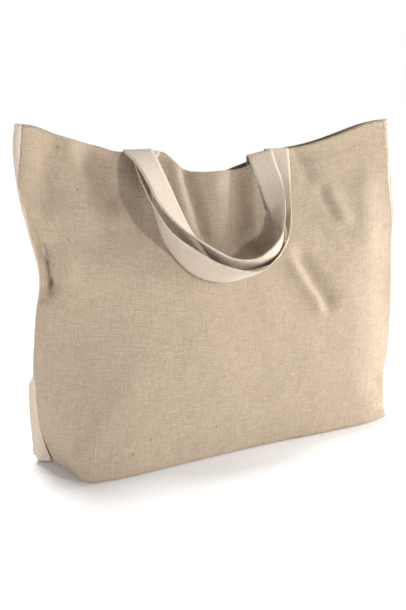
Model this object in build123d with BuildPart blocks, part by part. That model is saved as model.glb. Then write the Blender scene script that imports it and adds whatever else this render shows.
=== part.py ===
from build123d import *
import os

os.makedirs("parts", exist_ok=True)

# A soft, woven jute tote that stands on its flat base with its mouth nearly closed.
# X runs along the mouth, -Y is the front, +Z is up; the origin is the middle of the base.

# ---- driving dimensions (mm) ----
cloth = 1.6  # laminated jute cloth, one layer
corner_height = 420  # rim height at the four mouth corners
handle_rim = 383  # rim height where the handles cross it
dip_height = 358  # rim height in the middle, where the cloth sags
seat = 25  # half the width of the level stretch of rim under a strap

strap_width = 38
strap_thickness = 1.7
sewn_length = 52  # how far a handle's sewn end reaches below the rim
strap_gap = 0.5  # air between a strap and the layer it passes
sewn_gap = 0.1  # between sewn layers

binding_width = 5.5
binding_thickness = 0.8
thread_height = 0.3  # how far stitching stands proud of the cloth
thread_width = 1.2
hem_depth = 26  # hem stitching below the rim
box_margin = 4  # box stitch inside the strap's outline

front_ends = (-105, 89)  # middle of each sewn end of the front handle
back_ends = (-112, 70)
seats_left = (min(front_ends[0], back_ends[0]) - seat, max(front_ends[0], back_ends[0]) + seat)
seats_right = (min(front_ends[1], back_ends[1]) - seat, max(front_ends[1], back_ends[1]) + seat)

# Level sections of the bag: height, width, depth, how far the middle sits back, bow of the walls.
stations = [
    (0, 458, 160, 1, 2),
    (60, 462, 156, 1, 2),
    (140, 474, 132, 2, 5),
    (230, 500, 94, 6, 12),
    (320, 530, 46, 11, 20),
    (372, 544, 17, 14, 24),
    (430, 546, 17, 14, 24),
]
mouth_depth, mouth_middle, mouth_bow = stations[-1][2:]
level_share = 0.46  # share of the half width over which the walls run level before they bow
front_rim = mouth_middle - mouth_depth / 2  # outer face of the front wall where the straps cross
back_rim = mouth_middle + mouth_depth / 2

# The two seams of a gusset, seen from the side: where they meet the base and the mouth.
seam_base = (0, 55)
seam_mouth = (front_rim - mouth_bow + cloth, back_rim - mouth_bow - cloth)
gusset_mouth = (seam_mouth[0] + 0.6, seam_mouth[1])  # clear of the front wall's inner corner
seam_top = corner_height + 20
throat = stations[-2][0]  # above this height the mouth has its full width and least depth

# Each handle hangs as a nested U. A ribbon runs between its two edges, given from left to right:
# the edge that comes to the front at the bottom of the U, and the edge that stays near the wall.
front_leg = front_rim - strap_gap - strap_thickness / 2
back_leg = front_leg - 2 * strap_gap - strap_thickness
leg_top = handle_rim - 1.2
front_handle_edges = (
    [(-124, front_leg, leg_top), (-127, -6, 373), (-131, -29, 354), (-124, -48, 322), (-104, -62, 289)]
    + [(-72, -69, 265), (-30, -73, 243), (10, -74, 236), (42, -70, 246)]
    + [(70, -56, 274), (92, -32, 306), (101, -13, 342), (108, front_leg, leg_top)],
    [(-86, front_leg, leg_top), (-92, 1, 371), (-104, -6, 350), (-108, -17, 314), (-97, -31, 271)]
    + [(-77, -40, 242), (-22, -46, 219), (22, -46, 221), (56, -42, 236)]
    + [(84, -34, 262), (69, -21, 303), (64, -8, 341), (70, front_leg, leg_top)],
)
back_handle_edges = (
    [(-135, back_leg, leg_top), (-134, -19, 374), (-129, -39, 354), (-114, -53, 318), (-93, -61, 295)]
    + [(-66, -66, 276), (-28, -70, 256), (12, -71, 251), (36, -68, 261)]
    + [(56, -59, 280), (78, -42, 304), (84, -25, 338), (80, back_leg, leg_top)],
    [(-97, back_leg, leg_top), (-97, -8, 371), (-92, -19, 350), (-79, -31, 315), (-66, -38, 285)]
    + [(-50, -38, 262), (-26, -44, 233), (26, -46, 234), (50, -41, 248)]
    + [(68, -33, 270), (52, -28, 300), (47, -18, 336), (42, back_leg, leg_top)],
)


# ---- solids that the pieces are cut from ----
def bag_solid(inset, floor=0.0):
    """The bag's outer shape taken in by inset, standing on a floor at that height."""
    with BuildPart() as body:
        for height, width, depth, middle, bow in stations:
            half = width / 2 - inset
            level = width / 2 * level_share
            front = middle - depth / 2 + inset
            back = middle + depth / 2 - inset
            with BuildSketch(Plane.XY.offset(max(height, floor))):
                with BuildLine():
                    Line((-level, front), (level, front))
                    TangentArc((level, front), (half, front - bow), tangent=(1, 0))
                    Line((half, front - bow), (half, back - bow))
                    TangentArc((level, back), (half, back - bow), tangent=(1, 0))
                    Line((level, back), (-level, back))
                    TangentArc((-level, back), (-half, back - bow), tangent=(-1, 0))
                    Line((-half, back - bow), (-half, front - bow))
                    TangentArc((-level, front), (-half, front - bow), tangent=(-1, 0))
                make_face()
        loft(ruled=True)
    return body.part


def above_rim(drop=0.0):
    """Everything above the sagging rim line, or above a line that runs a drop below it."""
    high, low, dip = corner_height - drop, handle_rim - drop, dip_height - drop
    with BuildPart() as trim:
        with BuildSketch(Plane.XZ):
            with BuildLine():
                Spline((-290, high), (-262, high - 2), (-200, high - 20), (seats_left[0], low))
                Line((seats_left[0], low), (seats_left[1], low))
                Spline((seats_left[1], low), (-45, dip + 5), (10, dip + 4), (seats_right[0], low))
                Line((seats_right[0], low), (seats_right[1], low))
                Spline((seats_right[1], low), (200, high - 20), (262, high - 2), (290, high))
                Polyline((290, high), (290, 450), (-290, 450), (-290, high))
            make_face()
        extrude(amount=120, both=True)
    return trim.part


def layer(outer_inset, inner_inset, drop=0.0):
    """The layer of the bag's walls between two insets, trimmed at the rim or a drop below it."""
    with BuildPart() as skin:
        add(bag_solid(outer_inset))
        add(bag_solid(inner_inset, floor=cloth), mode=Mode.SUBTRACT)
        add(above_rim(drop), mode=Mode.SUBTRACT)
    return skin.part


def side_prism(side, front_points, back_points, margin):
    """A prism over one side wall, between two seam lines given as (y at the base, y at the mouth)."""
    with BuildPart() as prism:
        with BuildSketch(Plane.XZ):
            with BuildLine():
                wall = [(width / 2 - margin, height) for height, width, _, _, _ in stations]
                Polyline(*wall, (300, 430), (300, 0), wall[0])
            make_face()
        extrude(amount=120, both=True)
        with BuildSketch(Plane.YZ):
            Polygon(
                (front_points[0], cloth),
                (back_points[0], cloth),
                (back_points[1], throat),
                (back_points[1], seam_top),
                (front_points[1], seam_top),
                (front_points[1], throat),
                align=None,
            )
        extrude(amount=320, both=True, mode=Mode.INTERSECT)
    return prism.part if side == "right" else prism.part.mirror(Plane.YZ)


def finish(piece, label):
    """Name a finished piece and write it out."""
    piece.part.label = label
    export_step(piece.part, f"parts/{label}.step")


# ---- cloth: one long panel makes the front, the base and the back; a gusset closes each side ----
wall_layer = layer(0, cloth)
gusset_prisms = {
    side: side_prism(side, (seam_base[0], gusset_mouth[0]), (seam_base[1], gusset_mouth[1]), 3)
    for side in ("left", "right")
}

with BuildPart() as main_panel:
    add(wall_layer)
    for prism in gusset_prisms.values():
        add(prism, mode=Mode.SUBTRACT)
finish(main_panel, "main_panel")

for side, prism in gusset_prisms.items():
    with BuildPart() as gusset:
        add(wall_layer)
        add(prism, mode=Mode.INTERSECT)
    finish(gusset, f"side_gusset_{side}")

# ---- binding tape over the raw seam allowances, inside each of the four seams ----
binding_layer = layer(cloth + sewn_gap, cloth + sewn_gap + binding_thickness, drop=3)
for side in ("left", "right"):
    for edge, inward in (("front", 1), ("back", -1)):
        index = 0 if edge == "front" else 1
        seam = (seam_base[index] + inward * 0.4, seam_mouth[index] + inward * 0.4)
        inner = (seam[0] + inward * binding_width, seam[1] + inward * binding_width)
        lines = (seam, inner) if inward > 0 else (inner, seam)
        with BuildPart() as binding:
            add(binding_layer)
            add(side_prism(side, *lines, margin=6), mode=Mode.INTERSECT)
        finish(binding, f"seam_binding_{edge}_{side}")

# ---- handles: sewn ends inside the walls, and their box stitches outside ----
thread_layer = layer(-thread_height, 0)
end_layer = layer(cloth + sewn_gap, cloth + sewn_gap + strap_thickness)
between_walls = Plane.XZ.offset(-mouth_middle)
box_stitches = []
ends = {
    ("front", "left"): front_ends[0],
    ("front", "right"): front_ends[1],
    ("back", "left"): back_ends[0],
    ("back", "right"): back_ends[1],
}
for (wall, side), middle in ends.items():
    toward = 90 if wall == "front" else -90
    with BuildPart() as sewn_end:
        add(end_layer)
        with BuildSketch(between_walls):
            with Locations((middle, handle_rim - sewn_length / 2)):
                Rectangle(strap_width, sewn_length)
        extrude(amount=toward, mode=Mode.INTERSECT)
    finish(sewn_end, f"handle_end_{wall}_{side}")

    box = (strap_width - 2 * box_margin, sewn_length - 2 * box_margin)
    with BuildPart() as box_stitch:
        add(thread_layer)
        with BuildSketch(between_walls):
            with Locations((middle, handle_rim - sewn_length / 2)):
                Rectangle(*box)
                Rectangle(box[0] - 2 * thread_width, box[1] - 2 * thread_width, mode=Mode.SUBTRACT)
            corners = [
                (middle + dx * (box[0] / 2 - 1), handle_rim - sewn_length / 2 + dz * (box[1] / 2 - 1))
                for dx, dz in ((-1, -1), (1, 1), (-1, 1), (1, -1))
            ]
            for start, stop in (corners[:2], corners[2:]):
                with BuildLine() as diagonal:
                    Line(start, stop)
                trace(diagonal.line, line_width=thread_width)
        extrude(amount=toward, mode=Mode.INTERSECT)
    finish(box_stitch, f"box_stitch_{wall}_{side}")
    box_stitches.append(box_stitch.part)

# ---- hem stitching: one ring of thread round the mouth, broken where the box stitches cross it ----
with BuildPart() as hem_stitching:
    add(thread_layer)
    add(above_rim(hem_depth), mode=Mode.SUBTRACT)
    add(above_rim(hem_depth + thread_width), mode=Mode.INTERSECT)
    for box_stitch in box_stitches:
        add(box_stitch, mode=Mode.SUBTRACT)
finish(hem_stitching, "hem_stitching")

# ---- handles: the folds over the rim, and the hanging loops ----
end_middles = {
    "front": front_rim + cloth + sewn_gap + strap_thickness / 2,
    "back": back_rim - cloth - sewn_gap - strap_thickness / 2,
}
leg_middles = {"front": front_leg, "back": back_leg}
hinges = {wall: (end_middles[wall] + leg_middles[wall]) / 2 for wall in end_middles}
for (wall, side), middle in ends.items():
    mean_radius = (end_middles[wall] - leg_middles[wall]) / 2
    with BuildPart() as fold:
        with BuildSketch(Plane.YZ.offset(middle - strap_width / 2)):
            with Locations((hinges[wall], handle_rim)):
                Circle(mean_radius + strap_thickness / 2)
                Circle(mean_radius - strap_thickness / 2, mode=Mode.SUBTRACT)
            with Locations((hinges[wall], handle_rim - 20)):
                Rectangle(80, 40, mode=Mode.SUBTRACT)
        extrude(amount=strap_width)
    finish(fold, f"handle_fold_{wall}_{side}")

for wall, (outer_edge, wall_edge) in (("front", front_handle_edges), ("back", back_handle_edges)):
    with BuildLine() as outer:
        Spline(*outer_edge)
    with BuildLine() as inner:
        Spline(*wall_edge)
    ribbon = Face.make_surface_from_curves(outer.edge(), inner.edge())
    with BuildPart() as loop:
        thicken(ribbon, amount=strap_thickness / 2, both=True)
    finish(loop, f"handle_loop_{wall}")

for wall, y in hinges.items():
    print(f"hinge {wall}: y {y:.3f}, z {handle_rim}")
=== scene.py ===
import math

import bpy
import numpy as np
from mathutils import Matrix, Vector, noise


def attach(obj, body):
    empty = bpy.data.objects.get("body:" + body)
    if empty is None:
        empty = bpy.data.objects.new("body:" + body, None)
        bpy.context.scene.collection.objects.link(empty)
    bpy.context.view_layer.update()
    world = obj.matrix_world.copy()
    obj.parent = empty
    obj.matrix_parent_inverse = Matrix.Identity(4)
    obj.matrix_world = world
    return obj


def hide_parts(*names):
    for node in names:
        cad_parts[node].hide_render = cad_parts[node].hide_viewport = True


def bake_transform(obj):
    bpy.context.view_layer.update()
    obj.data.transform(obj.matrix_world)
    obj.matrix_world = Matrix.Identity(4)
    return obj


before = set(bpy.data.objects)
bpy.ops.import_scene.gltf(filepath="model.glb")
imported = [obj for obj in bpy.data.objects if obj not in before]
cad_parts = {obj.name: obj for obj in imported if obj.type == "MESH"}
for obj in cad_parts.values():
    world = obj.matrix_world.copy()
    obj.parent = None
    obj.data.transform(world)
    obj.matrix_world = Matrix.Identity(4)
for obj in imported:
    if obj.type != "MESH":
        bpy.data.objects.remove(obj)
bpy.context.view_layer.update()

MM = 0.001

# ---- driving sizes, in millimetres like every outline below ----
CLOTH = 1.3
WEBBING = 1.7
STRAP_WIDTH = 38
PANEL_WIDTH = 545
BASE_DEPTH = 160
CORNER_HEIGHT = 420
HANDLE_RIM = 383
GUSSET_WIDTH = 150
HEM_DEPTH = 26
TAPE_LENGTH = 415
TAPE_THICKNESS = 0.5
STEP = 3.6  # grid spacing of the cloth

# Plan outlines of the front wall by height, from the left seam to the right seam.
FRONT = {
    0: [(-241, 8), (-233, -28), (-229, -72), (-200, -82), (-100, -81), (18, -78), (120, -83), (200, -84), (232, -77)],
    26: [(-251, 8), (-240, -30), (-232, -68), (-200, -81), (-100, -80), (18, -78), (120, -82), (198, -82), (228, -74)],
    60: [(-260, 6), (-250, -28), (-233, -58), (-196, -75), (-100, -78), (18, -77), (120, -80), (192, -80), (229, -70)],
    100: [(-263, 3), (-254, -26), (-234, -50), (-192, -67), (-100, -72), (18, -71), (120, -73), (190, -74), (243, -62)],
    130: [(-264, 0), (-255, -24), (-233, -45), (-190, -60), (-100, -66), (18, -66), (120, -68), (190, -70), (247, -58)],
    190: [(-262, -8), (-254, -23), (-230, -38), (-185, -48), (-100, -53), (18, -53), (120, -55), (190, -58), (254, -50)],
    238: [(-258, -15), (-251, -26), (-228, -35), (-182, -40), (-100, -40), (18, -40), (120, -42), (190, -46), (260, -40)],
    300: [(-271, -21), (-260, -25), (-230, -27), (-180, -23), (-100, -19), (18, -19), (120, -21), (190, -27), (270, -28)],
    350: [(-280, -22), (-265, -22), (-230, -17), (-180, -9), (-100, -4), (18, -4), (120, -5), (190, -12), (269, -20)],
    385: [(-275, -18), (-258, -17), (-227, -11), (-178, -2), (-100, 5), (18, 5), (120, 5), (185, -2), (265, -17)],
    425: [(-270, -16), (-254, -14), (-225, -7), (-175, 0), (-100, 5), (18, 6), (120, 5), (180, 0), (260, -15)],
}
# The back wall, from its left seam to its right seam.
BACK = {
    0: [(-245, 62), (-238, 78), (-226, 83), (-170, 84), (-90, 82), (20, 84), (120, 82), (200, 83), (235, 76)],
    60: [(-242, 60), (-236, 71), (-224, 77), (-175, 80), (-90, 79), (20, 80), (120, 79), (200, 79), (238, 70)],
    130: [(-240, 48), (-233, 56), (-220, 63), (-176, 69), (-95, 70), (20, 71), (120, 70), (195, 68), (246, 58)],
    238: [(-240, 26), (-233, 34), (-220, 42), (-176, 50), (-98, 52), (20, 53), (120, 52), (190, 48), (258, 32)],
    300: [(-256, 8), (-247, 14), (-228, 21), (-180, 30), (-100, 36), (20, 37), (120, 36), (188, 28), (266, 6)],
    350: [(-272, -5), (-260, 1), (-230, 8), (-180, 16), (-100, 23), (20, 24), (120, 23), (188, 14), (267, -4)],
    385: [(-276, -4), (-258, -1), (-227, 6), (-178, 14), (-100, 21), (20, 22), (120, 21), (185, 13), (265, -3)],
    425: [(-271, -3), (-254, 0), (-225, 6), (-175, 13), (-100, 20), (20, 21), (120, 20), (180, 14), (260, -2)],
}
# Rim height along x, front and back.
FRONT_RIM = [(-290, 420), (-262, 418), (-221, 405), (-168, 391), (-141, 384), (-82, 382), (-61, 366), (-42, 357)]
FRONT_RIM += [(-15, 355), (12, 357), (36, 360), (58, 370), (84, 379), (104, 381), (128, 384), (178, 396)]
FRONT_RIM += [(205, 405), (232, 414), (262, 419), (290, 420)]
BACK_RIM = [(-290, 420), (-262, 418), (-221, 405), (-168, 390), (-141, 382), (-82, 378), (-50, 360), (-15, 351)]
BACK_RIM += [(10, 353), (28, 358), (44, 362), (66, 371), (90, 379), (109, 381), (140, 386), (178, 396)]
BACK_RIM += [(232, 413), (262, 418), (290, 420)]

# How far a gusset bulges back and out from its front seam before it folds in, by height.
GUSSET_BULGE = {0: (33, 15), 26: (34, 10), 50: (35, 3), 78: (33, 0), 98: (23, 0), 126: (5, -3), 200: (3, -5)}
GUSSET_BULGE.update({300: (3, -5), 350: (4, 0), 381: (7, 6), 400: (7, 7), 425: (7, 7)})

# Each handle's ribbon runs between its front edge and its wall edge, from left to right.
FRONT_HANDLE = (
    [(-124, 3, 381), (-128, -7, 373), (-132, -29, 355), (-125, -48, 324), (-106, -62, 290), (-73, -69, 265)]
    + [(-48, -72, 250), (-22, -75, 240), (-4, -76, 236), (15, -76, 235), (30, -71, 240), (53, -59, 250)]
    + [(71, -50, 267), (82, -42, 289), (90, -30, 316), (100, -12, 352), (107, 3, 379)],
    [(-87, 4, 381), (-94, 1, 371), (-105, -7, 350), (-108, -19, 315), (-99, -33, 272), (-78, -43, 242)]
    + [(-60, -48, 229), (-26, -51, 220), (6, -51, 223), (36, -52, 231), (52, -48, 240), (70, -42, 252)]
    + [(81, -38, 266), (82, -31, 285), (75, -21, 311), (69, -8, 350), (71, 3, 379)],
)
BACK_HANDLE = (
    [(-138, 0, 383), (-134, -19, 373), (-129, -38, 354), (-116, -51, 322), (-94, -60, 297), (-67, -66, 277)]
    + [(-28, -68, 255), (-8, -71, 250), (12, -71, 251), (34, -67, 260), (51, -61, 271), (60, -56, 281)]
    + [(69, -47, 300), (78, -33, 322), (82, -19, 343), (80, -9, 361), (79, 0, 378)],
    [(-99, 0, 383), (-96, -9, 371), (-90, -19, 350), (-80, -31, 318), (-67, -38, 288), (-50, -40, 264)]
    + [(-22, -45, 234), (6, -48, 233), (34, -53, 236), (59, -50, 246), (71, -42, 257), (74, -35, 268)]
    + [(69, -27, 286), (57, -22, 308), (50, -15, 333), (44, -8, 353), (42, -1, 368)],
)
FRONT_ENDS = (-105, 89)
BACK_ENDS = (-112, 70)
SEWN_LENGTH = 52
RIGHT_LEAN = {"front": (2, 2), "back": (4, 10)}  # how far the rim falls under the strap's two edges


# ---- small helpers ----
def run_length(line):
    """Distance along a line of points, from its first point to each point."""
    return np.concatenate([[0], np.cumsum(np.linalg.norm(np.diff(line, axis=0), axis=1))])


def uv_grid(u, v):
    """One UV pair for every point of a grid, from its column and row distances."""
    return np.stack(np.broadcast_arrays(u[None, :], v[:, None]), axis=2).reshape(-1, 2)


def curve_through(points, count, spread_by=None):
    """A smooth centripetal curve through a list of points, as count evenly spaced points."""
    p = np.array(points, float)
    ends = np.vstack([2 * p[0] - p[1], p, 2 * p[-1] - p[-2]])
    fine = []
    for i in range(len(p) - 1):
        a, b, c, d = ends[i : i + 4]
        t0, t1 = 0.0, np.linalg.norm(b - a) ** 0.5
        t2 = t1 + np.linalg.norm(c - b) ** 0.5
        t3 = t2 + np.linalg.norm(d - c) ** 0.5
        for t in np.linspace(t1, t2, 24, endpoint=i == len(p) - 2):
            ab = a * (t1 - t) / t1 + b * t / t1
            bc = b * (t2 - t) / (t2 - t1) + c * (t - t1) / (t2 - t1)
            cd = c * (t3 - t) / (t3 - t2) + d * (t - t2) / (t3 - t2)
            abc = ab * (t2 - t) / t2 + bc * t / t2
            bcd = bc * (t3 - t) / (t3 - t1) + cd * (t - t1) / (t3 - t1)
            fine.append(abc * (t2 - t) / (t2 - t1) + bcd * (t - t1) / (t2 - t1))
    fine = np.array(fine)
    if spread_by == "index":
        return fine[np.linspace(0, len(fine) - 1, count).round().astype(int)]
    along = run_length(fine)
    at = np.linspace(0, along[-1], count)
    return np.stack([np.interp(at, along, fine[:, k]) for k in range(p.shape[1])], axis=1)


def smooth_between(x, table):
    """Read a smooth curve through (key, value) pairs at x, without overshoot."""
    keys = np.array([k for k, _ in table], float)
    values = np.array([v for _, v in table], float)
    slope = np.diff(values) / np.diff(keys)
    middle = np.where(slope[:-1] * slope[1:] > 0, 2 * slope[:-1] * slope[1:] / (slope[:-1] + slope[1:] + 1e-12), 0)
    tangent = np.concatenate([[slope[0]], middle, [slope[-1]]])
    x = np.clip(np.asarray(x, float), keys[0], keys[-1])
    i = np.clip(np.searchsorted(keys, x) - 1, 0, len(keys) - 2)
    h = keys[i + 1] - keys[i]
    t = (x - keys[i]) / h
    return (
        values[i] * (2 * t**3 - 3 * t**2 + 1)
        + values[i + 1] * (3 * t**2 - 2 * t**3)
        + h * tangent[i] * (t**3 - 2 * t**2 + t)
        + h * tangent[i + 1] * (t**3 - t**2)
    )


def new_object(name, points, faces, uv=None, smooth=True):
    """A mesh object from points in millimetres, with optional UVs in metres."""
    mesh = bpy.data.meshes.new(name)
    mesh.from_pydata((np.asarray(points) * MM).tolist(), [], faces)
    if uv is not None:
        layer = mesh.uv_layers.new(name="cloth")
        loops = np.zeros(len(mesh.loops), int)
        mesh.loops.foreach_get("vertex_index", loops)
        layer.data.foreach_set("uv", (np.asarray(uv)[loops] * MM).astype(np.float32).ravel())
    mesh.polygons.foreach_set("use_smooth", [smooth] * len(mesh.polygons))
    mesh.validate()
    obj = bpy.data.objects.new(name, mesh)
    bpy.context.scene.collection.objects.link(obj)
    return obj


def grid_faces(rows, columns, offset=0, flip=False):
    """Quads over a grid of points stored row by row."""
    faces = []
    for r in range(rows - 1):
        for c in range(columns - 1):
            a = offset + r * columns + c
            quad = (a, a + 1, a + columns + 1, a + columns)
            faces.append(quad[::-1] if flip else quad)
    return faces


def grid_normals(grid):
    """Unit normals of a grid of points, by its rows and columns."""
    across = np.gradient(grid, axis=1)
    up = np.gradient(grid, axis=0)
    normal = np.cross(across, up)
    return normal / np.maximum(np.linalg.norm(normal, axis=2, keepdims=True), 1e-9)


def lumps(points, scale, seed):
    """Smooth noise from -1 to 1 at each point, with lumps about scale millimetres across."""
    return np.array([noise.noise(Vector(p / scale) + Vector((seed, seed * 1.7, -seed))) for p in points])


# ---- the walls of the bag ----
def wall_grid(sections, rim_table, columns, rows):
    """A wall's points: rows from the base to the rim, columns from the left seam to the right."""
    heights = sorted(sections)
    outlines = np.array([curve_through(sections[h], columns) for h in heights])
    rim = smooth_between(outlines[-1, :, 0], rim_table)
    grid = np.zeros((rows, columns, 3))
    share = np.linspace(0, 1, rows)
    for c in range(columns):
        z = share * rim[c]
        for k in (0, 1):
            grid[:, c, k] = smooth_between(z, list(zip(heights, outlines[:, c, k])))
        grid[:, c, 2] = z
    return grid


def crease(grid, start, stop, width, depth):
    """How far a straight fold moves each point out, in plan of x and z, fading at both ends."""
    a, b = np.array(start, float), np.array(stop, float)
    p = grid[:, :, [0, 2]]
    length = np.linalg.norm(b - a)
    along = ((p - a) @ (b - a)) / length
    side = ((p - a) @ np.array([-(b - a)[1], (b - a)[0]])) / length
    fade = np.clip(np.minimum(along / (0.35 * length) + 0.5, (length - along) / (0.35 * length) + 0.5), 0, 1)
    fade = fade * fade * (3 - 2 * fade)
    return depth * fade * np.exp(-((np.abs(side) / width) ** 2))


def hollow(grid, middle, radius, depth):
    """A soft round dent or bump with separate radii along x and z."""
    dx = (grid[:, :, 0] - middle[0]) / radius[0]
    dz = (grid[:, :, 2] - middle[1]) / radius[1]
    return depth * np.exp(-(dx**2 + dz**2))


def roll_bottom(grid, radius=4.5):
    """Turn the lowest rows in under the bag, so the foot has a rounded fold."""
    normal = grid_normals(grid)
    normal[:, :, 2] = 0
    normal /= np.maximum(np.linalg.norm(normal, axis=2, keepdims=True), 1e-9)
    low = np.clip(1 - grid[:, :, 2] / radius, 0, 1)
    inward = radius * (1 - np.sqrt(np.clip(1 - low**2, 0, 1)))
    return grid - normal * inward[:, :, None]


COLUMNS = int(PANEL_WIDTH / STEP)
ROWS = int(CORNER_HEIGHT / STEP)


def front_wall():
    grid = wall_grid(FRONT, FRONT_RIM, COLUMNS, ROWS)
    normal = grid_normals(grid)
    out = crease(grid, (-262, 312), (-254, 262), 8, -4)
    out += crease(grid, (-253, 282), (-249, 228), 8, -12)
    out += crease(grid, (-248, 240), (-260, 216), 8, -6)
    out += hollow(grid, (-230, 254), (11, 28), 4)
    out += hollow(grid, (-240, 200), (16, 20), 3)
    out += crease(grid, (-218, 396), (-186, 300), 14, 7)
    out += crease(grid, (-190, 394), (-156, 320), 17, -6)
    out += hollow(grid, (-243, 362), (16, 34), -7)
    out += hollow(grid, (-245, 310), (10, 16), 3)
    out += crease(grid, (-54, 362), (-38, 272), 8, -8)
    out += crease(grid, (-70, 370), (-58, 268), 11, 4)
    out += crease(grid, (-14, 360), (-12, 300), 16, 3)
    out += crease(grid, (30, 364), (10, 266), 15, -13)
    out += crease(grid, (47, 366), (38, 278), 9, 8)
    out += hollow(grid, (10, 262), (36, 22), -6)
    out += crease(grid, (84, 232), (122, 166), 9, 5.5)
    out += crease(grid, (98, 246), (140, 176), 13, -6)
    out += crease(grid, (150, 330), (166, 286), 8, -3)
    out += crease(grid, (164, 328), (182, 280), 11, 2)
    out += crease(grid, (118, 392), (136, 340), 12, -3)
    out += crease(grid, (-236, 24), (-196, 84), 12, 3)
    out += crease(grid, (232, 46), (196, 60), 9, -3)
    out += crease(grid, (224, 340), (214, 240), 18, 3)
    out += hollow(grid, (-60, 150), (110, 60), 3)
    out += hollow(grid, (120, 110), (90, 50), 2.5)
    flat = grid.reshape(-1, 3)
    soft = lumps(flat, 60, 3.1) * 1.5 + lumps(flat, 24, 7.7) * 0.6
    out += soft.reshape(grid.shape[:2])
    near_seam = np.minimum(np.arange(COLUMNS), np.arange(COLUMNS)[::-1]) * STEP
    fade = np.clip(grid[:, :, 2] / 20, 0, 1) * np.clip(near_seam / 13, 0.1, 1)[None, :]
    grid = grid + normal * (out * fade)[:, :, None]
    return roll_bottom(grid)


def back_wall():
    grid = wall_grid(BACK, BACK_RIM, COLUMNS, ROWS)
    normal = -grid_normals(grid)
    out = crease(grid, (-200, 380), (-150, 240), 16, 4)
    out += crease(grid, (-170, 380), (-128, 262), 14, -4)
    out += crease(grid, (190, 390), (168, 250), 15, 4)
    out += crease(grid, (150, 350), (140, 240), 16, -3)
    out += crease(grid, (20, 360), (34, 230), 16, -5)
    out += crease(grid, (-20, 356), (-8, 250), 14, 4)
    out += crease(grid, (-236, 60), (-150, 120), 14, 3)
    out += hollow(grid, (40, 150), (120, 60), 4)
    out += hollow(grid, (-120, 170), (60, 50), -3)
    flat = grid.reshape(-1, 3)
    out += (lumps(flat, 60, 13.3) * 2.0 + lumps(flat, 24, 17.1) * 0.7).reshape(grid.shape[:2])
    fade = np.clip(grid[:, :, 2] / 20, 0, 1)
    near_seam = np.minimum(np.arange(COLUMNS), np.arange(COLUMNS)[::-1]) * STEP
    fade = fade * np.clip(near_seam / 18, 0, 1)[None, :]
    grid = grid + normal * (out * fade)[:, :, None]
    mirrored = roll_bottom(grid[:, ::-1])
    return mirrored[:, ::-1]


front = front_wall()
back = back_wall()


def build_panel():
    """Front, base and back in one cloth."""
    base_rows = int(BASE_DEPTH / STEP)
    share = np.linspace(0, 1, base_rows)[1:-1, None, None]
    base = back[:1] * (1 - share) + front[:1] * share
    base[:, :, 2] = 0
    grid = np.concatenate([back[::-1], base, front])
    rows = len(grid)
    v = run_length(grid[:, COLUMNS // 2])
    u = np.linspace(0, PANEL_WIDTH, COLUMNS)
    uv = uv_grid(u, v)
    return new_object("jute_panel", grid.reshape(-1, 3), grid_faces(rows, COLUMNS), uv)


def gusset_grid(side):
    """A side gusset: it bulges a little behind the front seam, folds in, and returns to the back seam."""
    column = 0 if side == "left" else -1
    outward = -1 if side == "left" else 1
    seam_front, seam_back = front[:, column], back[:, column]
    columns = int(GUSSET_WIDTH / STEP)
    grid = np.zeros((ROWS, columns, 3))
    for r in range(ROWS):
        a, b = seam_front[r], seam_back[r]
        z = a[2]
        bulge_back = float(smooth_between(z, [(k, v[0]) for k, v in sorted(GUSSET_BULGE.items())]))
        bulge_out = float(smooth_between(z, [(k, v[1]) for k, v in sorted(GUSSET_BULGE.items())]))
        gap = b[1] - a[1]
        bulge_back = min(bulge_back, 0.42 * gap)
        half = GUSSET_WIDTH / 2
        depth = math.sqrt(max(half**2 - (gap / 2) ** 2, 4.0)) * min(1.0, 0.35 + z / 160)

        def tucked(share, across, a=a, r=r, depth=depth):
            """A point inside the bag, a share of the depth in, between the front and back cloth."""
            x = a[0] - outward * depth * share
            order_front, order_back = np.argsort(front[r, :, 0]), np.argsort(back[r, :, 0])
            y_front = np.interp(x, front[r, order_front, 0], front[r, order_front, 1]) + CLOTH
            y_back = np.interp(x, back[r, order_back, 0], back[r, order_back, 1]) - CLOTH
            return (x, y_front + (y_back - y_front) * across)

        points = [
            (a[0], a[1]),
            (a[0] + outward * bulge_out, a[1] + 0.55 * bulge_back),
            (a[0] + outward * bulge_out * 0.6, a[1] + bulge_back),
            tucked(0.5, 0.38),
            tucked(1.0, 0.5),
            tucked(0.5, 0.64),
            (b[0] + outward * bulge_out * 0.5, b[1] - 0.6 * bulge_back),
            (b[0], b[1]),
        ]
        line = curve_through(points, columns)
        grid[r, :, :2] = line
        level = a[2] + (b[2] - a[2]) * np.linspace(0, 1, columns)
        rim = np.minimum(smooth_between(line[:, 0], FRONT_RIM), smooth_between(line[:, 0], BACK_RIM)) - 5
        inside = np.clip((np.abs(a[0]) - np.abs(line[:, 0])) / 12, 0, 1)
        lower = np.clip(1 - rim / max(front[-1, column, 2], 1), 0, 1) * inside
        grid[r, :, 2] = level * (1 - lower)
    return grid


def build_gusset(side):
    grid = gusset_grid(side)
    rows, columns = grid.shape[:2]
    u = np.linspace(0, GUSSET_WIDTH, columns)
    v = np.linspace(0, CORNER_HEIGHT, rows)
    uv = uv_grid(u + 700, v)
    return new_object(f"jute_gusset_{side}", grid.reshape(-1, 3), grid_faces(rows, columns, flip=side == "left"), uv)


def thicken(obj, thickness, offset=-1.0):
    solid = obj.modifiers.new("thickness", "SOLIDIFY")
    solid.thickness = thickness * MM
    solid.offset = offset
    solid.use_even_offset = False
    return solid


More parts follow.
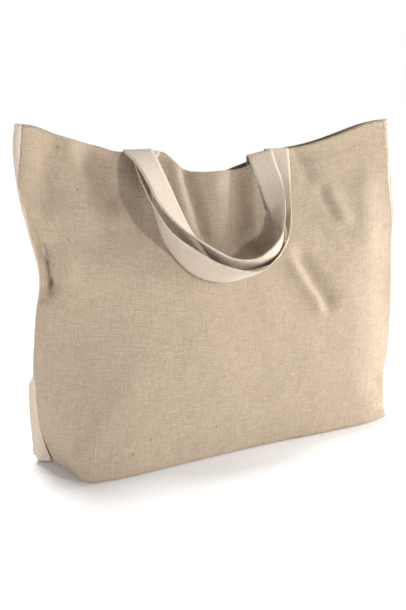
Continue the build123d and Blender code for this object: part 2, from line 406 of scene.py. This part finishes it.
# ---- materials ----
class Nodes:
    """Short hand for building one procedural material."""

    def __init__(self, name):
        self.material = bpy.data.materials.new(name)
        self.material.use_nodes = True
        self.tree = self.material.node_tree
        self.shader = self.tree.nodes["Principled BSDF"]

    def add(self, kind, **settings):
        node = self.tree.nodes.new(kind)
        for key, value in settings.items():
            setattr(node, key, value)
        return node

    def link(self, source, target):
        self.tree.links.new(source, target)

    def math(self, operation, a, b=None, c=None):
        node = self.add("ShaderNodeMath", operation=operation)
        for socket, value in zip(node.inputs, (a, b, c)):
            if value is None:
                continue
            if isinstance(value, (int, float)):
                socket.default_value = value
            else:
                self.link(value, socket)
        return node.outputs[0]

    def coordinates(self):
        return self.add("ShaderNodeTexCoord").outputs["UV"]

    def split(self, vector):
        node = self.add("ShaderNodeSeparateXYZ")
        self.link(vector, node.inputs[0])
        return node.outputs["X"], node.outputs["Y"]

    def join(self, x, y, z=0.0):
        node = self.add("ShaderNodeCombineXYZ")
        for socket, value in zip(node.inputs, (x, y, z)):
            if isinstance(value, (int, float)):
                socket.default_value = value
            else:
                self.link(value, socket)
        return node.outputs[0]

    def noise(self, vector, scale, detail=2.0, roughness=0.5):
        node = self.add("ShaderNodeTexNoise")
        node.inputs["Scale"].default_value = scale
        node.inputs["Detail"].default_value = detail
        node.inputs["Roughness"].default_value = roughness
        self.link(vector, node.inputs["Vector"])
        return node.outputs["Fac"]

    def ramp(self, value, stops):
        node = self.add("ShaderNodeValToRGB")
        elements = node.color_ramp.elements
        while len(elements) < len(stops):
            elements.new(0.5)
        for element, (position, colour) in zip(elements, stops):
            element.position = position
            element.color = (*colour, 1.0)
        self.link(value, node.inputs[0])
        return node.outputs[0]

    def mix(self, factor, a, b):
        node = self.add("ShaderNodeMix", data_type="RGBA")
        for socket, value in zip((node.inputs[0], node.inputs[6], node.inputs[7]), (factor, a, b)):
            if isinstance(value, (int, float)):
                socket.default_value = value
            elif isinstance(value, tuple):
                socket.default_value = (*value, 1.0)
            else:
                self.link(value, socket)
        return node.outputs[2]

    def remap(self, value, low, high, new_low, new_high):
        node = self.add("ShaderNodeMapRange")
        self.link(value, node.inputs[0])
        for socket, number in zip(node.inputs[1:5], (low, high, new_low, new_high)):
            socket.default_value = number
        return node.outputs[0]


def weave(n, pitch_x, pitch_y, wobble, wobble_scale):
    """Plain weave over the cloth's UVs: the UVs and their x and y, each thread's number, the height,
    and a mask of where a warp thread is on top."""
    uv = n.coordinates()
    x, y = n.split(uv)
    drift_x = n.math("MULTIPLY", n.math("SUBTRACT", n.noise(uv, wobble_scale, 3.0), 0.5), wobble)
    shifted = n.add("ShaderNodeVectorMath", operation="ADD")
    n.link(uv, shifted.inputs[0])
    shifted.inputs[1].default_value = (3.7, 9.1, 0.0)
    drift_y = n.math("MULTIPLY", n.math("SUBTRACT", n.noise(shifted.outputs[0], wobble_scale, 3.0), 0.5), wobble)
    warp = n.math("DIVIDE", n.math("ADD", x, drift_x), pitch_x)
    weft = n.math("DIVIDE", n.math("ADD", y, drift_y), pitch_y)
    warp_id, weft_id = n.math("FLOOR", warp), n.math("FLOOR", weft)
    warp_round = n.math("SINE", n.math("MULTIPLY", n.math("FRACT", warp), math.pi))
    weft_round = n.math("SINE", n.math("MULTIPLY", n.math("FRACT", weft), math.pi))
    over = n.math("MODULO", n.math("ABSOLUTE", n.math("ADD", warp_id, weft_id)), 2.0)
    warp_top = n.math("MULTIPLY", warp_round, n.math("MULTIPLY_ADD", n.math("MULTIPLY", over, weft_round), 0.6, 0.4))
    under = n.math("SUBTRACT", 1.0, over)
    weft_top = n.math("MULTIPLY", weft_round, n.math("MULTIPLY_ADD", n.math("MULTIPLY", under, warp_round), 0.6, 0.4))
    height = n.math("MAXIMUM", warp_top, weft_top)
    on_warp = n.math("GREATER_THAN", warp_top, weft_top)
    return uv, x, y, warp_id, weft_id, height, on_warp


def thread_tone(n, number, along, scale, seed):
    """A tone that changes slowly along one thread and jumps from thread to thread."""
    vector = n.join(n.math("MULTIPLY", number, 7.31), n.math("MULTIPLY", along, scale), seed)
    return n.noise(vector, 1.0, 2.0)


def jute(name, tones, gap, bump=0.6, speck=1.0, pitch=(0.00165, 0.0018)):
    """Plain woven jute: uneven slubbed threads, dark gaps, seed specks and long colour drift."""
    n = Nodes(name)
    uv, x, y, warp_id, weft_id, height, on_warp = weave(n, *pitch, 0.0007, 45.0)
    warp_tone = thread_tone(n, warp_id, y, 70.0, 1.3)
    weft_tone = thread_tone(n, weft_id, x, 55.0, 5.9)
    warp_part = n.math("MULTIPLY", on_warp, warp_tone)
    weft_part = n.math("MULTIPLY", n.math("SUBTRACT", 1.0, on_warp), weft_tone)
    tone = n.math("ADD", warp_part, weft_part)
    colour = n.ramp(tone, [(0.2, tones[0]), (0.5, tones[1]), (0.8, tones[2])])
    fibre = n.noise(n.join(n.math("MULTIPLY", x, 2600.0), n.math("MULTIPLY", y, 500.0)), 1.0, 2.0)
    colour = n.mix(n.remap(fibre, 0.35, 0.75, 0.0, 0.22), colour, tones[0])
    drift = n.noise(uv, 9.0, 4.0, 0.6)
    colour = n.mix(n.remap(drift, 0.35, 0.7, 0.0, 0.28), colour, tones[3])
    mottle = n.noise(uv, 230.0, 3.0, 0.65)
    colour = n.mix(n.remap(mottle, 0.42, 0.72, 0.0, 0.45), colour, tones[0])
    colour = n.mix(n.remap(height, 0.15, 0.62, 0.62, 0.0), colour, gap)
    slub = n.math("MULTIPLY", n.math("GREATER_THAN", warp_tone, 0.69), on_warp)
    colour = n.mix(n.math("MULTIPLY", slub, 0.45), colour, tones[0])
    cells = n.add("ShaderNodeTexVoronoi", feature="F1", voronoi_dimensions="2D")
    cells.inputs["Scale"].default_value = 42.0
    cells.inputs["Randomness"].default_value = 1.0
    n.link(uv, cells.inputs["Vector"])
    pick = n.add("ShaderNodeSeparateColor")
    n.link(cells.outputs["Color"], pick.inputs[0])
    rare = n.math("GREATER_THAN", pick.outputs[0], 0.93)
    dot = n.math("MULTIPLY", rare, n.math("LESS_THAN", cells.outputs["Distance"], 0.052))
    colour = n.mix(n.math("MULTIPLY", dot, 0.75 * speck), colour, (0.13, 0.085, 0.05))
    n.link(colour, n.shader.inputs["Base Color"])
    n.link(n.remap(height, 0.1, 0.9, 0.97, 0.8), n.shader.inputs["Roughness"])
    n.shader.inputs["Specular IOR Level"].default_value = 0.22
    n.shader.inputs["Sheen Weight"].default_value = 0.15
    n.shader.inputs["Sheen Roughness"].default_value = 0.55
    slub_lift = n.math("MULTIPLY", warp_tone, 0.8)
    surface = n.math("ADD", n.math("MULTIPLY", height, n.math("ADD", slub_lift, 0.6)), n.math("MULTIPLY", fibre, 0.25))
    relief = n.add("ShaderNodeBump")
    relief.inputs["Strength"].default_value = bump
    relief.inputs["Distance"].default_value = 0.0007
    n.link(surface, relief.inputs["Height"])
    n.link(relief.outputs[0], n.shader.inputs["Normal"])
    return n.material


def webbing(name, tones, gap):
    """Tight cotton webbing: fine ribs along the strap and close cross threads."""
    n = Nodes(name)
    uv, _, y, warp_id, _, height, _ = weave(n, 0.00105, 0.0008, 0.0002, 90.0)
    tone = thread_tone(n, warp_id, y, 190.0, 2.2)
    colour = n.ramp(tone, [(0.2, tones[0]), (0.52, tones[1]), (0.84, tones[2])])
    drift = n.noise(uv, 30.0, 3.0)
    colour = n.mix(n.remap(drift, 0.35, 0.7, 0.0, 0.2), colour, tones[0])
    colour = n.mix(n.remap(height, 0.1, 0.6, 0.4, 0.0), colour, gap)
    fuzz = n.noise(uv, 900.0, 2.0)
    n.link(colour, n.shader.inputs["Base Color"])
    n.link(n.remap(height, 0.1, 0.9, 0.95, 0.78), n.shader.inputs["Roughness"])
    n.shader.inputs["Specular IOR Level"].default_value = 0.25
    n.shader.inputs["Sheen Weight"].default_value = 0.25
    n.shader.inputs["Sheen Roughness"].default_value = 0.5
    relief = n.add("ShaderNodeBump")
    relief.inputs["Strength"].default_value = 0.45
    relief.inputs["Distance"].default_value = 0.0004
    n.link(n.math("ADD", height, n.math("MULTIPLY", fuzz, 0.4)), relief.inputs["Height"])
    n.link(relief.outputs[0], n.shader.inputs["Normal"])
    return n.material


def thread_material(name, tones):
    """Twisted sewing thread, read from object coordinates because stitches have no UVs."""
    n = Nodes(name)
    place = n.add("ShaderNodeTexCoord").outputs["Object"]
    colour = n.ramp(n.noise(place, 420.0, 3.0), [(0.35, tones[0]), (0.65, tones[1])])
    n.link(colour, n.shader.inputs["Base Color"])
    n.link(n.remap(n.noise(place, 1300.0), 0.3, 0.7, 0.65, 0.9), n.shader.inputs["Roughness"])
    n.shader.inputs["Sheen Weight"].default_value = 0.2
    relief = n.add("ShaderNodeBump")
    relief.inputs["Strength"].default_value = 0.5
    relief.inputs["Distance"].default_value = 0.0002
    n.link(n.noise(place, 1800.0), relief.inputs["Height"])
    n.link(relief.outputs[0], n.shader.inputs["Normal"])
    return n.material


JUTE_TONES = [(0.265, 0.203, 0.142), (0.405, 0.326, 0.244), (0.52, 0.432, 0.337), (0.36, 0.284, 0.205)]
# The gusset cloth is the same jute as the panel, drawn paler. That extra lightness is painted light for the brighter
# light the side walls catch.
GUSSET_LIT_TONES = [(0.45, 0.375, 0.30), (0.57, 0.49, 0.41), (0.67, 0.59, 0.51), (0.51, 0.43, 0.355)]
jute_material = jute("natural_jute", JUTE_TONES, (0.24, 0.16, 0.095))
lit_gusset_material = jute("gusset_jute_painted_light", GUSSET_LIT_TONES, (0.34, 0.25, 0.17), speck=0.6)
WEBBING_TONES = [(0.39, 0.32, 0.25), (0.46, 0.385, 0.31), (0.53, 0.455, 0.375)]
webbing_material = webbing("cotton_webbing", WEBBING_TONES, (0.29, 0.225, 0.165))
stitch_material = thread_material("sewing_thread", [(0.36, 0.275, 0.19), (0.48, 0.38, 0.275)])
TAPE_TONES = [(0.50, 0.40, 0.29), (0.60, 0.49, 0.37), (0.66, 0.56, 0.43)]
tape_material = webbing("binding_tape", TAPE_TONES, (0.32, 0.24, 0.16))


# ---- the bag ----
panel = build_panel()
thicken(panel, CLOTH)
panel.data.materials.append(jute_material)
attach(panel, "root")
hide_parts("main_panel")

for side in ("left", "right"):
    gusset = build_gusset(side)
    thicken(gusset, CLOTH)
    gusset.data.materials.append(lit_gusset_material)
    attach(gusset, "root")
    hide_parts(f"side_gusset_{side}")


# ---- binding tape over the raw seams inside ----
def build_binding(name, seam, inner_neighbour, wall_neighbour, width=7):
    """A folded tape that stands along a seam on the inside of the bag."""
    rows = len(seam)
    inward = inner_neighbour - seam
    inward /= np.maximum(np.linalg.norm(inward, axis=1, keepdims=True), 1e-9)
    along_wall = wall_neighbour - seam
    along_wall /= np.maximum(np.linalg.norm(along_wall, axis=1, keepdims=True), 1e-9)
    root = seam + (inward + along_wall) * (CLOTH * 0.9)
    tip = root + (inward * 0.5 + along_wall) * width
    side = np.cross(tip - root, np.gradient(seam, axis=0))
    side /= np.maximum(np.linalg.norm(side, axis=1, keepdims=True), 1e-9)
    keep = slice(2, rows - 3)
    root, tip, side = root[keep], tip[keep], side[keep]
    ridge = tip + (tip - root) * 0.06
    grid = np.stack([root + side * 0.9, tip + side * 0.9, ridge, tip - side * 0.9, root - side * 0.9], axis=1)
    count = len(grid)
    u = np.array([0, width, width + 1, width + 2, 2 * width + 2])
    uv = uv_grid(u, np.linspace(0, TAPE_LENGTH, count))
    return new_object(name, grid.reshape(-1, 3), grid_faces(count, 5), uv)


for side, column, near in (("left", 0, 4), ("right", -1, -5)):
    gusset_points = gusset_grid(side)
    for wall, grid, gusset_column in (("front", front, 3), ("back", back, -4)):
        tape = build_binding(f"seam_tape_{wall}_{side}", grid[:, column], gusset_points[:, gusset_column], grid[:, near])
        thicken(tape, TAPE_THICKNESS, offset=0.0)
        tape.data.materials.append(tape_material)
        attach(tape, "root")
        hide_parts(f"seam_binding_{wall}_{side}")


# ---- handles: one ribbon each, sewn inside, folded over the rim, hanging in a U ----
def wall_inside(grid, middle, depth, wall):
    """A point on the inner face of a wall, a depth below the rim, near x = middle."""
    column = int(np.argmin(np.abs(grid[-1, :, 0] - middle)))
    z = HANDLE_RIM - depth
    y = float(np.interp(z, grid[:, column, 2], grid[:, column, 1]))
    inward = 1 if wall == "front" else -1
    return np.array([middle, y + inward * (CLOTH + WEBBING / 2 + 0.3), z])


def build_handle(name, edges, grid, ends, wall):
    """A ribbon from its two edge lines, and the length of its middle line in millimetres."""
    half = STRAP_WIDTH / 2
    fronts, walls = [np.array(e, float) for e in edges]
    loop_front = curve_through(fronts, 160, spread_by="index")
    loop_wall = curve_through(walls, 160, spread_by="index")

    def sewn(middle, toward_left):
        depths = np.linspace(SEWN_LENGTH, 2, 14)
        line = np.array([wall_inside(grid, middle, d, wall) for d in depths])
        shift = np.array([half, 0, 0])
        return (line - shift, line + shift) if toward_left else (line + shift, line - shift)

    def arch(inner, outer, steps=9):
        """The fold over the rim, a half turn from the sewn end to the hanging leg."""
        angles = np.linspace(0, math.pi, steps)[1:-1]
        centre = (inner + outer) / 2
        reach = np.linalg.norm((outer - inner)[[1]]) / 2
        points = []
        for angle in angles:
            share = (1 - math.cos(angle)) / 2
            p = inner * (1 - share) + outer * share
            p[2] += min(reach * 0.9, 3.0) * math.sin(angle)
            points.append(p)
        return np.array(points)

    a_front, a_wall = sewn(ends[0], True)
    b_front, b_wall = sewn(ends[1], False)
    b_front[:, 2] -= RIGHT_LEAN[wall][0]
    b_wall[:, 2] -= RIGHT_LEAN[wall][1]
    line_front = np.concatenate(
        [a_front, arch(a_front[-1], loop_front[0]), loop_front, arch(loop_front[-1], b_front[-1]), b_front[::-1]]
    )
    line_wall = np.concatenate(
        [a_wall, arch(a_wall[-1], loop_wall[0]), loop_wall, arch(loop_wall[-1], b_wall[-1]), b_wall[::-1]]
    )
    count = len(line_front)
    across = 9
    share = np.linspace(0, 1, across)[None, :, None]
    grid_points = line_front[:, None] * (1 - share) + line_wall[:, None] * share
    middle = (line_front + line_wall) / 2
    along = run_length(middle)
    uv = uv_grid(np.linspace(0, STRAP_WIDTH, across), along)
    strap = new_object(name, grid_points.reshape(-1, 3), grid_faces(count, across), uv)
    return strap, along[-1]


for wall, edges, grid, ends in (("front", FRONT_HANDLE, front, FRONT_ENDS), ("back", BACK_HANDLE, back, BACK_ENDS)):
    strap, length = build_handle(f"{wall}_strap", edges, grid, ends, wall)
    thicken(strap, WEBBING, offset=0.0)
    strap.data.materials.append(webbing_material)
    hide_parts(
        f"handle_loop_{wall}", f"handle_end_{wall}_left", f"handle_end_{wall}_right",
        f"handle_fold_{wall}_left", f"handle_fold_{wall}_right",
    )
    if wall == "front":
        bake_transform(strap)
    else:
        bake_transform(strap)


# ---- stitching ----
def stitch_row(points, spacing=4.2, length=3.1, radius=0.42, normal=None):
    """Points and faces of separate stitches laid along a line of points."""
    line = np.array(points, float)
    along = run_length(line)
    starts = np.arange(spacing / 2, along[-1] - length, spacing)
    verts, faces = [], []
    for s in starts:
        a = np.array([np.interp(s, along, line[:, k]) for k in range(3)])
        b = np.array([np.interp(s + length, along, line[:, k]) for k in range(3)])
        direction = (b - a) / max(np.linalg.norm(b - a), 1e-9)
        up = np.array(normal if normal is not None else (0, -1, 0), float)
        side = np.cross(direction, up)
        side /= max(np.linalg.norm(side), 1e-9)
        up = np.cross(side, direction)
        first = len(verts)
        rings = ((0, 0.35, -0.5), (0.18, 0.9, 0.05), (0.5, 1.0, 0.2), (0.82, 0.9, 0.05), (1, 0.35, -0.5))
        for t, swell, lift in rings:
            centre = a + (b - a) * t + up * radius * lift
            for k in range(6):
                angle = k * math.pi / 3
                verts.append(centre + (side * math.cos(angle) + up * math.sin(angle)) * radius * swell)
        for ring in range(4):
            for k in range(6):
                p = first + ring * 6 + k
                q = first + ring * 6 + (k + 1) % 6
                faces.append((p, q, q + 6, p + 6))
        faces.append(tuple(first + k for k in range(6))[::-1])
        faces.append(tuple(first + 24 + k for k in range(6)))
    return verts, faces


def stitched(name, rows, slot_node):
    verts, faces = [], []
    for row, normal in rows:
        v, f = stitch_row(row, normal=normal)
        faces += [tuple(i + len(verts) for i in face) for face in f]
        verts += v
    obj = new_object(name, verts, faces)
    obj.data.materials.append(stitch_material)
    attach(obj, "root")
    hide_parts(slot_node)
    return obj


def outside_line(grid, outward, drop):
    """A line on the outer face of a wall, a drop below its rim."""
    line = []
    for c in range(2, COLUMNS - 2):
        z = grid[-1, c, 2] - drop
        line.append([np.interp(z, grid[:, c, 2], grid[:, c, k]) for k in (0, 1)] + [z])
    return np.array(line) + np.array([0, outward * 0.15, 0])


hem_rows = [(outside_line(front, -1, HEM_DEPTH), (0, -1, 0.2)), (outside_line(back, 1, HEM_DEPTH), (0, 1, 0.2))]
stitched("hem_stitches", hem_rows, "hem_stitching")


def box_rows(grid, middle, outward):
    half_width, half_height = STRAP_WIDTH / 2 - 4, SEWN_LENGTH / 2 - 4
    centre_z = HANDLE_RIM - SEWN_LENGTH / 2

    def on_wall(x, z):
        column = np.argmin(np.abs(grid[-1, :, 0] - x))
        z = min(z, grid[-1, column, 2] - 5)
        return [x, np.interp(z, grid[:, column, 2], grid[:, column, 1]) + outward * 0.15, z]

    corners = [(-1, -1), (1, -1), (1, 1), (-1, 1)]
    lines = [(corners[i], corners[(i + 1) % 4]) for i in range(4)]
    lines += [(corners[0], corners[2]), (corners[1], corners[3])]
    rows = []
    for a, b in lines:
        share = np.linspace(0, 1, 12)
        xs = middle + half_width * (a[0] + (b[0] - a[0]) * share)
        zs = centre_z + half_height * (a[1] + (b[1] - a[1]) * share)
        rows.append((np.array([on_wall(x, z) for x, z in zip(xs, zs)]), (0, outward, 0.3)))
    return rows


for wall, grid, ends, outward in (("front", front, FRONT_ENDS, -1), ("back", back, BACK_ENDS, 1)):
    for side, middle in zip(("left", "right"), ends):
        stitched(f"box_stitches_{wall}_{side}", box_rows(grid, middle, outward), f"box_stitch_{wall}_{side}")


# ---- stage, light and camera ----
def plain(name, colour, roughness):
    n = Nodes(name)
    place = n.add("ShaderNodeTexCoord").outputs["Object"]
    shade = n.ramp(n.noise(place, 3.0), [(0.3, tuple(c * 0.99 for c in colour)), (0.7, colour)])
    n.link(shade, n.shader.inputs["Base Color"])
    n.shader.inputs["Roughness"].default_value = roughness
    return n.material


def build_floor():
    size = 6000
    corners = [(-size, -size, 0), (size, -size, 0), (size, size, 0), (-size, size, 0)]
    floor = new_object("floor", corners, [(0, 1, 2, 3)], smooth=False)
    floor.data.materials.append(plain("pale_floor", (0.93, 0.93, 0.94), 0.9))


def area_light(name, place, aim, size, power, colour=(1, 1, 1)):
    data = bpy.data.lights.new(name, "AREA")
    data.shape = "DISK"
    data.size = size
    data.energy = power
    data.color = colour
    light = bpy.data.objects.new(name, data)
    light.location = place
    light.rotation_euler = (Vector(aim) - Vector(place)).to_track_quat("-Z", "Y").to_euler()
    bpy.context.scene.collection.objects.link(light)


build_floor()
area_light("key", (0.66, -1.42, 0.36), (0.05, 0, 0.22), 0.16, 13.5, (1.0, 0.985, 0.965))
area_light("side", (1.2, -0.34, 0.26), (0.18, 0, 0.16), 0.6, 24, (1.0, 0.99, 0.97))
area_light("fill", (-1.25, -0.40, 0.06), (-0.2, 0, 0.06), 0.4, 10, (0.99, 0.99, 1.0))

# An even, soft light from above, so the floor stays white out to the horizon.
overhead_data = bpy.data.lights.new("overhead", "SUN")
overhead_data.energy = 3.0
overhead_data.angle = math.radians(22)
overhead = bpy.data.objects.new("overhead", overhead_data)
overhead.rotation_euler = Vector((-0.02, -0.38, -1)).to_track_quat("-Z", "Y").to_euler()
bpy.context.scene.collection.objects.link(overhead)

# A studio that is bright near the horizon and dimmer overhead.
world = bpy.data.worlds.new("studio")
world.use_nodes = True
sky = world.node_tree
direction = sky.nodes.new("ShaderNodeTexCoord")
parts = sky.nodes.new("ShaderNodeSeparateXYZ")
falloff = sky.nodes.new("ShaderNodeMapRange")
for socket, number in zip(falloff.inputs[1:5], (0.11, 0.28, 1.0, 0.2)):
    socket.default_value = number
sky.links.new(direction.outputs["Generated"], parts.inputs[0])
sky.links.new(parts.outputs["Z"], falloff.inputs[0])
sky.links.new(falloff.outputs[0], sky.nodes["Background"].inputs[1])
sky.nodes["Background"].inputs[0].default_value = (1, 1, 1, 1)
bpy.context.scene.world = world
bpy.context.scene.view_settings.view_transform = "Standard"

camera_data = bpy.data.cameras.new("camera")
camera_data.lens = 53.1
camera_data.sensor_width = 36
camera = bpy.data.objects.new("camera", camera_data)
camera.location = (-0.610, -1.001, 0.446)
camera.rotation_euler = (math.radians(90 - 12.9), 0, math.radians(-30.2))
bpy.context.scene.collection.objects.link(camera)
bpy.context.scene.camera = camera
